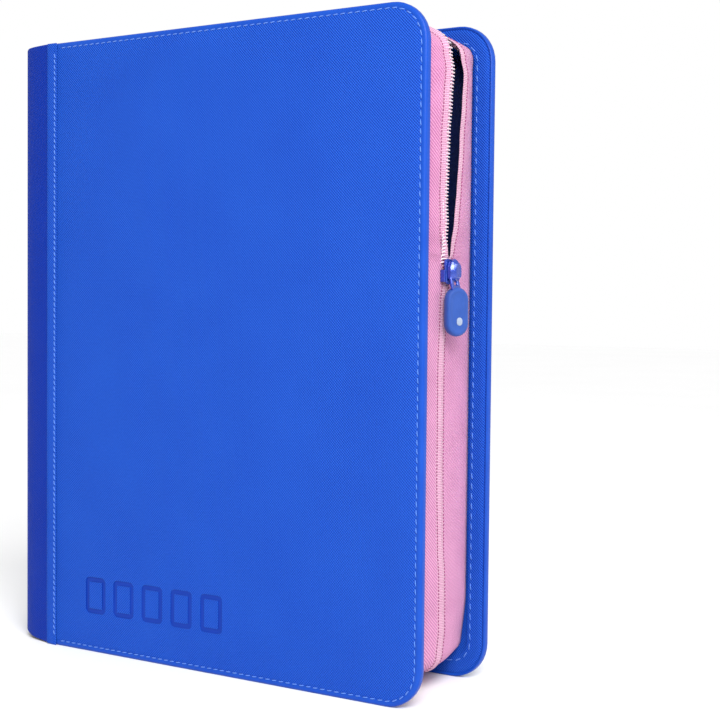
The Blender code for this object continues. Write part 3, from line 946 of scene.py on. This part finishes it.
def stack(rings, close=False, start=0):
    """The points and faces of a body made of rings, capped at both ends unless its rings close up."""
    count = len(rings[0])
    points = [Vector(p) for ring in rings for p in ring]
    faces = grid_faces(len(rings), count, close_rows=close, close_columns=True, start=start)
    if not close:
        last = start + len(points) - count
        faces += [[start + i for i in range(count)], [last + i for i in range(count)]]
    return points, faces


def join_bodies(name, bodies, material, sharp=35):
    """One piece from several closed bodies, each given by its rings."""
    points, faces = [], []
    for rings in bodies:
        more, its_faces = stack(rings, start=len(points))
        points += more
        faces += its_faces
    return plain_mesh(name, points, faces, [material], sharp=sharp)


def slab(sizes, centre, low_x, high_x, edge):
    """Rings of a slab with softened edges, facing along X. Sizes are those of its outline."""
    rings = []
    for x, shrink in ((low_x, edge), (low_x + edge, 0.0), (high_x - edge, 0.0), (high_x, edge)):
        rings.append([(x, centre[0] + y, centre[1] + z) for y, z in rounded_outline(*sizes, shrink)])
    return rings


def make_slider():
    """The slider's two plates, its side flanges and its post, and the faceted crown over them."""
    plate = (0.0055, 0.0043, 0.0130, 0.0020)
    flange = (0.0008, 0.0007, 0.0064, 0.0005)
    post = (0.0009, 0.0004, 0.0058, 0.0004)
    middle = (0.0, SLIDER_Z)
    bodies = [
        slab(plate, middle, PLATE_TOP - PLATE, PLATE_TOP, 0.0003),
        slab(plate, middle, PLATE_BOTTOM, PLATE_BOTTOM + PLATE, 0.0003),
        slab(post, (0.0, SLIDER_Z + 0.0026), PLATE_BOTTOM + PLATE - BITE, PLATE_TOP - PLATE + BITE, 0.0001),
    ]
    for sign in (-1, 1):
        spot = (sign * 0.0052, SLIDER_Z - 0.0022)
        bodies.append(slab(flange, spot, PLATE_TOP - 0.0030, PLATE_TOP - BITE, 0.0003))
    shell = join_bodies("slider_shell", bodies, BLUE["enamel"])
    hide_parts("slider_body")
    shape = [(0.0, 0.0062), (0.0030, 0.0048), (0.0043, 0.0020), (0.0045, -0.0012), (0.0040, -0.0034),
             (0.0024, -0.0046)]
    shape += [(-y, z) for y, z in reversed(shape[1:])]
    rings = []
    facets = ((-0.0004, 0.95), (0.0004, 1.08), (0.0022, 1.08), (0.0030, 1.0), (0.0043, 0.76),
              (0.0046, 0.62))
    for rise, scale in facets:
        x = PLATE_TOP + rise
        rings.append([(x, y * scale + 0.0005, SLIDER_Z + z * scale + 0.0001) for y, z in shape])
    crown = join_bodies("slider_crown", [rings], BLUE["enamel"], 20)
    soften = crown.modifiers.new("edges", "BEVEL")
    soften.width, soften.segments, soften.limit_method = 0.00022, 2, "ANGLE"
    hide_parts("slider_bail")
    lip_radius, lip_slope = 0.0019, 0.0006
    lip_x, lip_z = PLATE_TOP + 0.0030, SLIDER_Z - 0.0036
    arch = []
    for angle in spread(0.0, math.pi, 12):
        along, up = math.cos(angle), math.sin(angle)
        arch.append(Vector((lip_x + lip_slope * along, lip_radius * along, lip_z + lip_radius * up)))
    lip = plain_mesh("slider_crown_lip", *sweep(arch, 0.0005, 8), [BLUE["enamel"]], sharp=60)
    for piece in (shell, crown, lip):
        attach(piece, "slider")


def make_pull():
    """The flat link, the moulded rubber grip on it and the grip's pale spot."""
    length, middle, half, edge = 0.0112, -0.0046, 0.00065, 0.00025
    link_section = ((False, 0.0, -0.5), (False, 0.0, 0.5), (False, edge, 1.0), (True, -edge, 1.0),
                    (True, 0.0, 0.5), (True, 0.0, -0.5), (True, -edge, -1.0), (False, edge, -1.0))
    rings = []
    for hole, shrink, depth in link_section:
        if hole:
            outline = rounded_outline(0.0015, 0.0019, length - 0.0062, 0.0008, shrink)
        else:
            outline = rounded_outline(0.0040, 0.0044, length, 0.0014, shrink)
        ring = []
        for y, along in outline:
            down = middle + along
            x = PULL_X - down * math.sin(PULL_TILT) + depth * half
            ring.append((x, y, SLIDER_Z + down * math.cos(PULL_TILT)))
        rings.append(ring)
    link = plain_mesh("pull_link_frame", *stack(rings, close=True), [BLUE["enamel"]], sharp=35)
    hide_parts("pull_link")
    centre = (grip_low + grip_high) / 2
    centre.z += 0.0016
    across = Vector((math.sin(GRIP_TURN), math.cos(GRIP_TURN), 0))
    out = Vector((across.y, -across.x, 0))
    straight = (grip_high.z - grip_low.z) / 2 - GRIP_RADIUS

    def pill(bend, run, depth, shift=(0.0, 0.0)):
        line = arc((0, run), bend, 0, 180, 12) + arc((0, -run), bend, 180, 360, 12)
        middle_of_ring = centre + across * shift[0] + out * depth + Vector((0, 0, shift[1]))
        return [middle_of_ring + across * w + Vector((0, 0, z)) for w, z in line]

    section = [(0.0030, -0.0026), (0.0012, -0.0024), (0.0003, -0.0018), (0.0, -0.0008), (0.0, 0.0008),
               (0.0003, 0.0017), (0.0009, 0.0023), (0.0016, 0.0026), (0.0022, 0.0025), (0.0027, 0.00225),
               (0.0040, 0.0022)]
    rings = [pill(GRIP_RADIUS - inset, straight, depth) for inset, depth in section]
    grip = plain_mesh("pull_grip_pad", *stack(rings), [BLUE["rubber"]], sharp=60)
    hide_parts("pull_grip")
    spot = (0.0007, -0.0050)
    spot_section = ((0.0017, 0.0020), (0.0017, 0.0024), (0.0014, 0.0026))
    rings = [pill(bend, 0.0004, depth, spot) for bend, depth in spot_section]
    dot = plain_mesh("pull_grip_spot", *stack(rings), [PALE_DOT], sharp=50)
    for piece in (link, grip, dot):
        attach(piece, "pull")


# ---------------------------------------------------------------- pages

POCKET_MARGIN = 0.0016
FILM_RISE = 0.00022
LEAF_HALF = 0.00025
LEAF_CORNER = 0.005
FLAP_WIDTH = 0.016
POCKETS = 3


def add_pocket(bm, low, high, side):
    """One pocket's film panel between two corners of the page, on one side of the sheet."""
    film = ((0.0, -0.0001), (0.0003, FILM_RISE), (0.0018, FILM_RISE), (0.0024, FILM_RISE * 0.45))
    loops = []
    for inset, rise in film:
        grow = POCKET_MARGIN + inset
        left, right, bottom, top = low[0] + grow, high[0] - grow, low[1] + grow, high[1] - grow
        corners = ((left, bottom), (right, bottom), (right, top), (left, top))
        loops.append([bm.verts.new((x, side * (LEAF_HALF + rise), z)) for x, z in corners])
    for ring, inner in zip(loops, loops[1:]):
        bridge(bm, ring, inner, closed=True, slot=1)
    for loop in (loops[-1], loops[0]):
        bm.faces.new(loop).material_index = 1


def make_pages():
    """Twenty leaves: each a black sheet with a film panel over each of nine pockets, on both sides."""
    names = sorted(node_name for node_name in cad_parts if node_name.startswith("page_")
                   and node_name != "page_binding")
    low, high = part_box(names[0])
    outline = arc((high.x - LEAF_CORNER, high.z - LEAF_CORNER), LEAF_CORNER, 0, 90, 5)
    outline += [(low.x, high.z), (low.x, low.z)]
    outline += arc((high.x - LEAF_CORNER, low.z + LEAF_CORNER), LEAF_CORNER, 270, 360, 5)
    bm = bmesh.new()
    rings = [[bm.verts.new((x, y, z)) for x, z in outline] for y in (-LEAF_HALF, LEAF_HALF)]
    bridge(bm, *rings, closed=True)
    for ring in rings:
        bm.faces.new(ring)
    wide = (high.x - low.x - FLAP_WIDTH) / POCKETS
    tall = (high.z - low.z) / POCKETS
    for side in (-1, 1):
        for column in range(POCKETS):
            for row in range(POCKETS):
                x, z = low.x + FLAP_WIDTH + column * wide, low.z + row * tall
                add_pocket(bm, (x, z), (x + wide, z + tall), side)
    first = finish_mesh("page_leaf_01", bm, [BLACK["sheet"], BLACK["film"]], lambda co: (co.x, co.z), 25)
    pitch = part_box(names[1])[0].y - low.y
    for i, node_name in enumerate(names):
        leaf = add_object(f"page_leaf_{i + 1:02d}", first.data) if i else first
        leaf.location = (0, (low.y + high.y) / 2 + i * pitch, 0)
        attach(leaf, node_name)
        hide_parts(node_name)


def dress_carried_nodes():
    """Better materials for the solids that stay as they are."""
    looks = {"page_binding": BLACK["binding"], "top_stop_front": STEEL, "top_stop_back": STEEL,
             "bottom_stop": STEEL}
    for node_name, material in looks.items():
        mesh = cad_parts[node_name].data
        mesh.materials.clear()
        mesh.materials.append(material)


# ---------------------------------------------------------------- room

CAMERA_PLACE = (0.4811, -0.6378, 0.2043)
CAMERA_PITCH, CAMERA_YAW, CAMERA_ROLL = -2.298, 32.09, 0.57
CAMERA_LENS, SENSOR_WIDTH = 69.59, 36.0
SUN_FROM = (0.55, -0.48, 0.68)
WORLD_LIGHT = 0.64


def area_light(name, place, aim, size, power):
    """A soft rectangular light that faces the place it is aimed at."""
    data = bpy.data.lights.new(name, "AREA")
    data.shape = "RECTANGLE"
    data.size, data.size_y = size
    data.energy = power
    light = add_object(name, data)
    light.location = place
    light.rotation_euler = (Vector(aim) - Vector(place)).to_track_quat("-Z", "Y").to_euler()


def make_room():
    """A pale floor, soft studio lights and the camera."""
    material, tree, shader, place = start_material("floor_paper", 0.8, "Object")
    colour = mix(tree, clouds(tree, place, 0.3), (0.93, 0.93, 0.93), (0.96, 0.96, 0.96))
    dress(tree, shader, colour, clouds(tree, place, 0.002), 0.00005)
    bm = bmesh.new()
    bmesh.ops.create_grid(bm, x_segments=4, y_segments=4, size=6)
    floor = finish_mesh("floor", bm, [material])
    world = bpy.data.worlds.new("studio")
    bpy.context.scene.world = world
    world.use_nodes = True
    tree = world.node_tree
    shade = tree.nodes["Background"]
    seen = node(tree, "LightPath").outputs["Is Camera Ray"]
    shade.inputs["Color"].default_value = (1, 1, 1, 1)
    tree.links.new(scale_add(tree, seen, 1 - WORLD_LIGHT, WORLD_LIGHT), shade.inputs["Strength"])
    data = bpy.data.lights.new("sun", "SUN")
    data.energy = 2.0
    data.angle = math.radians(35)
    sun = add_object("sun", data)
    sun.rotation_euler = Vector(SUN_FROM).to_track_quat("Z", "Y").to_euler()
    area_light("key", (0.62, -0.72, 0.66), (0.08, 0, 0.26), (0.4, 0.4), 7)
    area_light("zip_side", (1.1, 0.6, 0.5), (0.14, 0.02, 0.2), (0.5, 0.8), 1.5)
    data = bpy.data.cameras.new("camera")
    data.sensor_width = SENSOR_WIDTH
    data.lens = CAMERA_LENS
    camera = add_object("camera", data)
    turn = Euler((math.radians(90 + CAMERA_PITCH), 0, math.radians(CAMERA_YAW))).to_matrix()
    roll = Matrix.Rotation(math.radians(CAMERA_ROLL), 3, "Z")
    camera.matrix_world = Matrix.Translation(CAMERA_PLACE) @ (turn @ roll).to_4x4()
    bpy.context.scene.camera = camera
    bpy.context.scene.view_settings.view_transform = "Standard"


for half, sign in SIDES.items():
    make_cover(half, sign)
    make_spine_half(half, sign)
    make_tape(half, sign)
    make_coil(half, sign)
for zip_end in ("top", "bottom"):
    make_gusset(zip_end)
make_slider()
make_pull()
make_pages()
dress_carried_nodes()
make_room()
